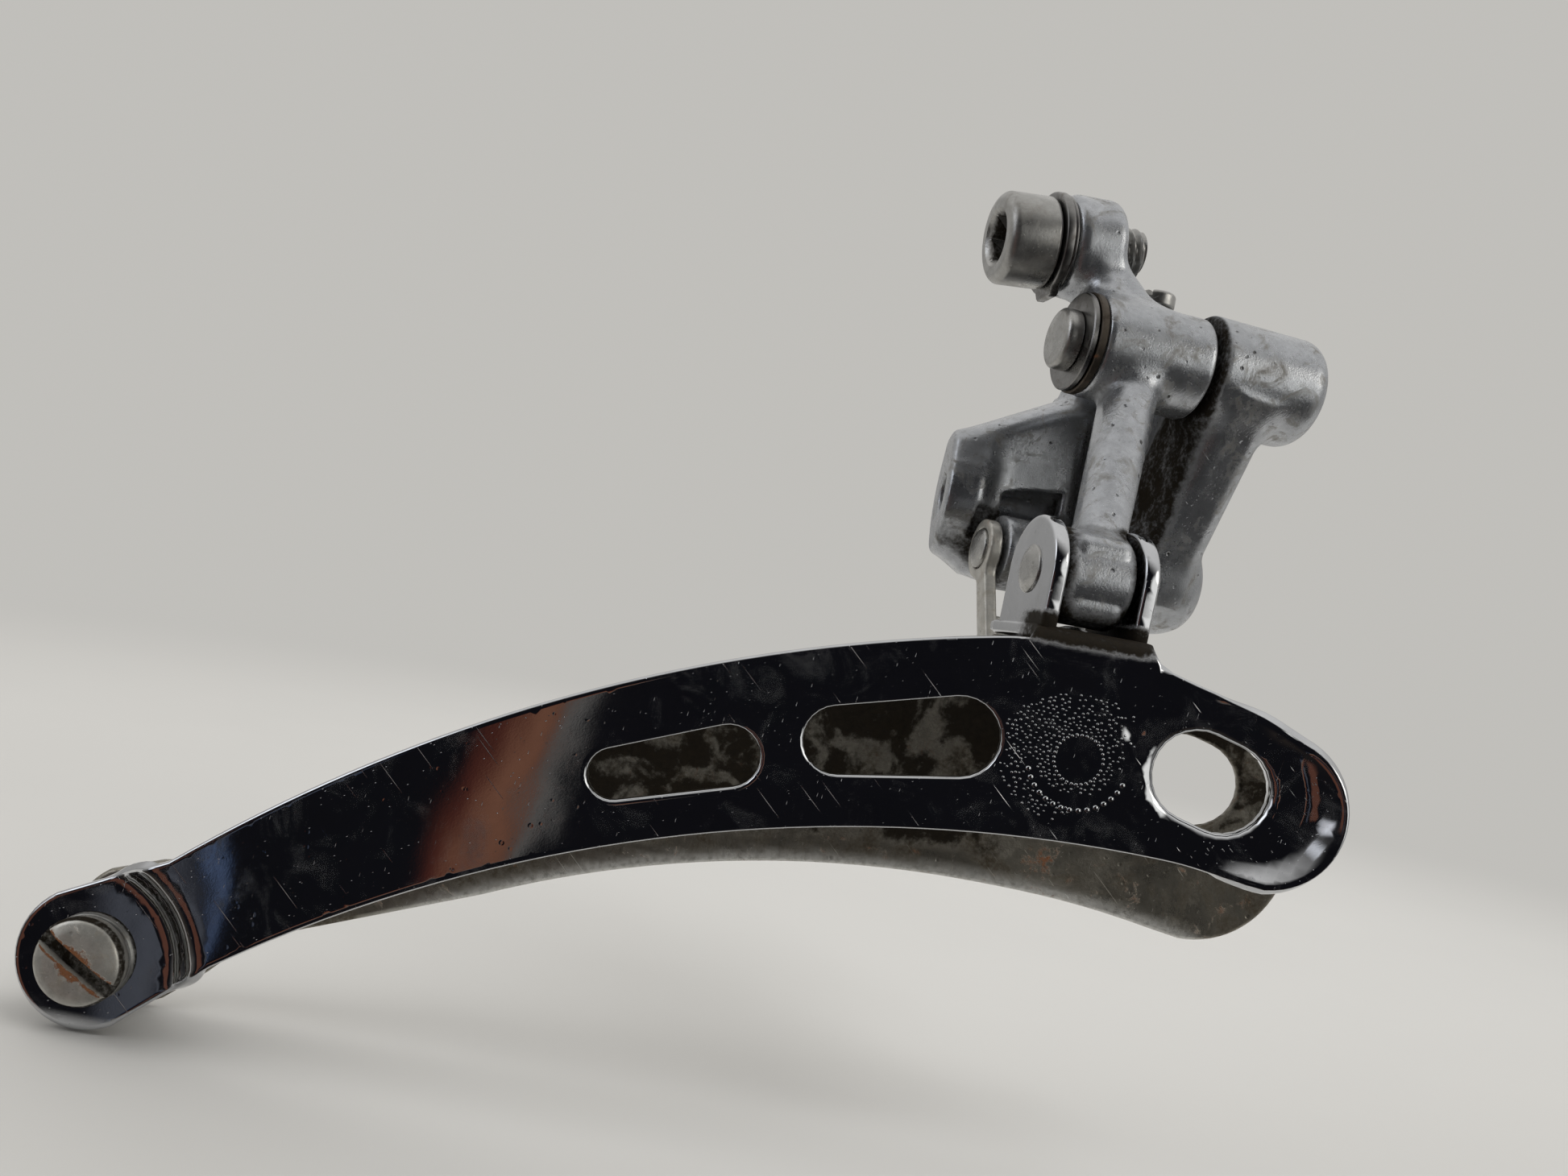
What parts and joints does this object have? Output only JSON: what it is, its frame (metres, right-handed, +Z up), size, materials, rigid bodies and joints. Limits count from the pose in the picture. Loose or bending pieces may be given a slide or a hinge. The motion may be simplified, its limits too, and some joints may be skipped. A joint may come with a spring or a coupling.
{
  "type": "front derailleur",
  "caption": "Front derailleur with a chromed cage of two curved plates on a parallelogram of two arms, limit screws, cable anchor and a bolt-on frame pad.",
  "frame": {"origin": "point on the flat rear face of the pad that bolts to the frame, level with the bolt and 3.7 mm inboard of it", "axes": "+X forwards along the bicycle, +Y inboard towards the wheel, +Z up the seat tube"},
  "size_m": [0.1017, 0.0416, 0.0867],
  "materials": {
    "chrome_plate": "polished",
    "greasy_steel": "dull, greasy",
    "cast_alloy": "satin, worn polish",
    "bolt_steel": "satin",
    "rusty_steel": "rusted",
    "spring_steel": "drawn wire"
  },
  "bodies": {
    "bracket": {"bracket_body": "cast_alloy", "outer_pivot_pin": "bolt_steel", "outer_pivot_washer": "rusty_steel", "outer_pivot_spring_washer": "bolt_steel", "inner_pivot_pin": "bolt_steel", "return_spring": "spring_steel", "low_limit_spring": "spring_steel", "high_limit_spring": "spring_steel"},
    "outer_arm": {"outer_arm": "cast_alloy", "cable_anchor_bolt": "bolt_steel", "cable_anchor_washer": "bolt_steel"},
    "inner_arm": {"inner_arm": "greasy_steel"},
    "cage": {"outer_cage_plate": "chrome_plate", "inner_cage_plate": "greasy_steel", "cage_rivet_rear": "bolt_steel", "cage_rivet_front": "bolt_steel", "ear_pin": "bolt_steel", "lug_pin": "bolt_steel", "tail_spacer": "bolt_steel", "tail_screw": "bolt_steel"},
    "low_limit_screw": {"low_limit_screw": "bolt_steel"},
    "high_limit_screw": {"high_limit_screw": "bolt_steel"}
  },
  "joints": [
    {"name": "outer_arm_swing", "type": "hinge", "parent": "bracket", "child": "outer_arm", "pos_m": [0.01425, -0.01581, 0.0141], "axis": [-0.9781, -0.2079, 0], "range_deg": [0, 28]},
    {"name": "inner_arm_swing", "type": "hinge", "parent": "bracket", "child": "inner_arm", "pos_m": [0.00951, -0.00843, -0.0053], "axis": [-0.9781, -0.2079, 0], "range_deg": [0, 28]},
    {"name": "cage_level", "type": "hinge", "parent": "outer_arm", "child": "cage", "pos_m": [0.0097, -0.02904, -0.0078], "axis": [-0.9781, -0.2079, 0], "range_deg": [-28, 0]},
    {"name": "low_limit_turn", "type": "hinge", "parent": "bracket", "child": "low_limit_screw", "pos_m": [0.01675, -0.00833, 0.0195], "axis": [0, 0, 1], "range_deg": [-180, 180]},
    {"name": "high_limit_turn", "type": "hinge", "parent": "bracket", "child": "high_limit_screw", "pos_m": [0.01295, -0.00055, 0.0156], "axis": [-0.2079, 0.9781, 0], "range_deg": [-180, 180]}
  ],
  "couplings": [
    {"joint": "inner_arm_swing", "follows": "outer_arm_swing", "ratio": 1},
    {"joint": "cage_level", "follows": "outer_arm_swing", "ratio": -1}
  ]
}
